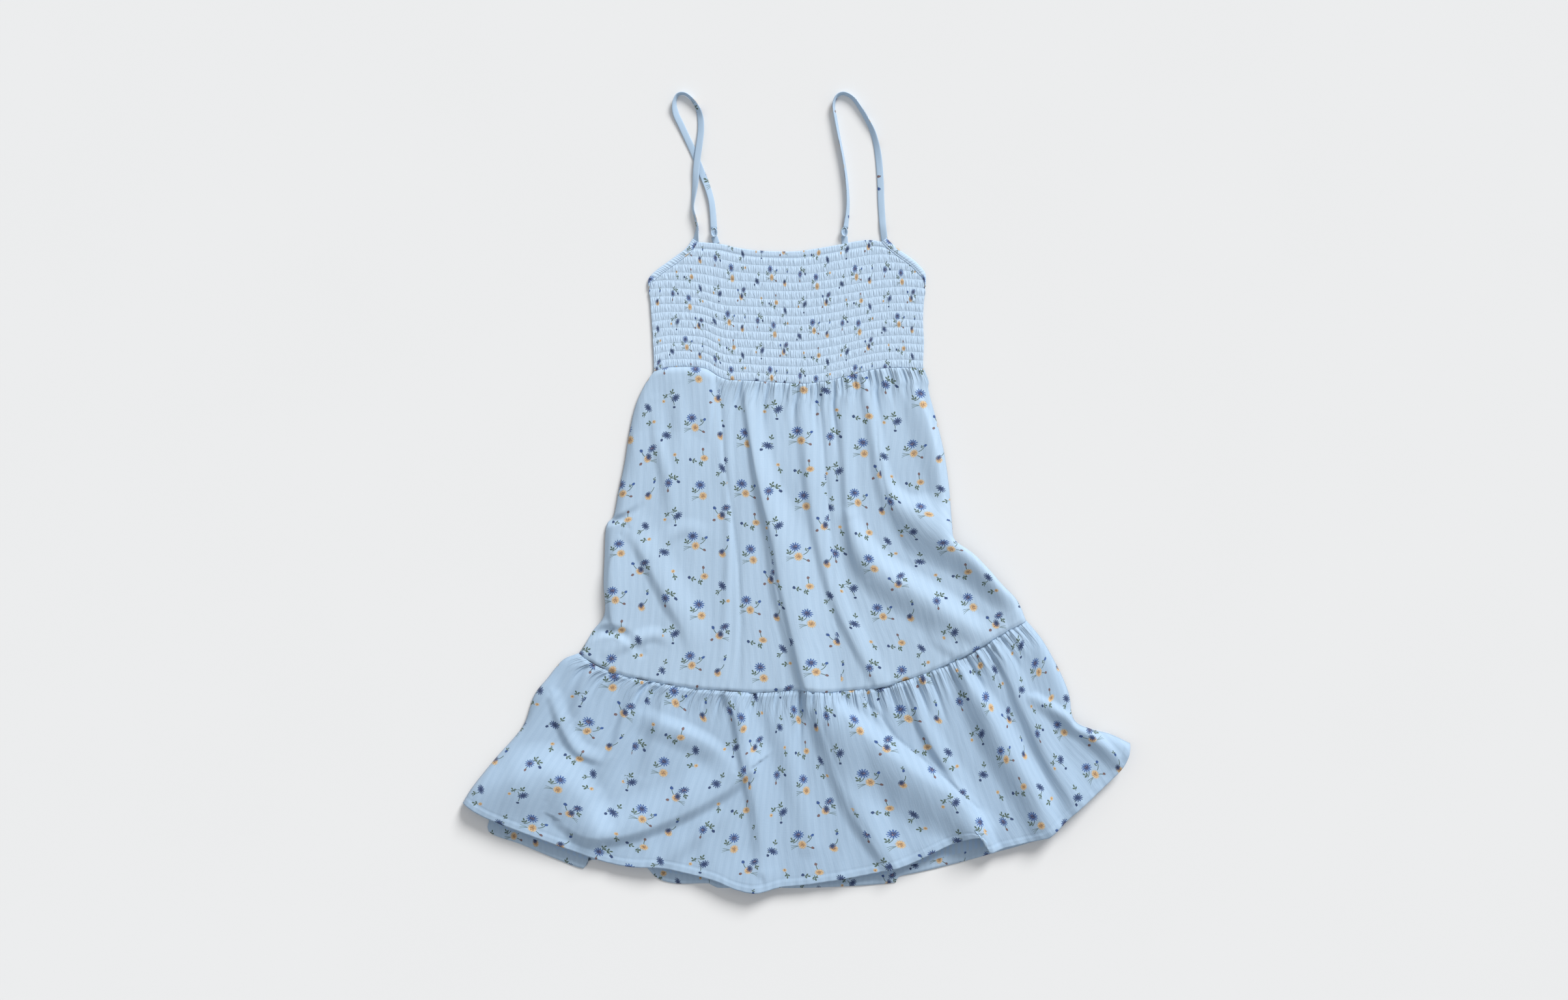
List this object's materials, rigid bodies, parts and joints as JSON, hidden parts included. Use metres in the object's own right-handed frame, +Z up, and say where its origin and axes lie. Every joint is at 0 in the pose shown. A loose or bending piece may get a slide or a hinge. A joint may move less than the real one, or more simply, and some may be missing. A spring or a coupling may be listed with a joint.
{
  "type": "babydoll dress",
  "caption": "Sleeveless babydoll dress laid flat: shirred bodice, spaghetti straps tied at the back, gathered skirt and a gathered ruffle hem.",
  "frame": {"origin": "on the surface that the dress lies on, in the middle of its outline, under the back skirt panel", "axes": "+X to the right as the front is looked down on, +Y from the hem to the straps, +Z up from the surface"},
  "size_m": [0.716, 0.8596, 0.0282],
  "materials": {
    "dress_print": "soft matt cotton with a small flower print",
    "shirring_print": "the same cotton, shirred with elastic thread",
    "binding_print": "the same cotton, as narrow bindings and flat tubes"
  },
  "bodies": {
    "root": {"bodice_front": "shirring_print", "bodice_back": "shirring_print", "binding_left": "binding_print", "binding_right": "binding_print", "skirt_front": "dress_print", "skirt_back": "dress_print", "ruffle_front": "dress_print", "ruffle_back": "dress_print", "strap_left": "binding_print", "strap_right": "binding_print", "strap_knot_left": "binding_print", "strap_knot_right": "binding_print", "strap_tab_left": "binding_print", "strap_tab_right": "binding_print"}
  },
  "joints": []
}
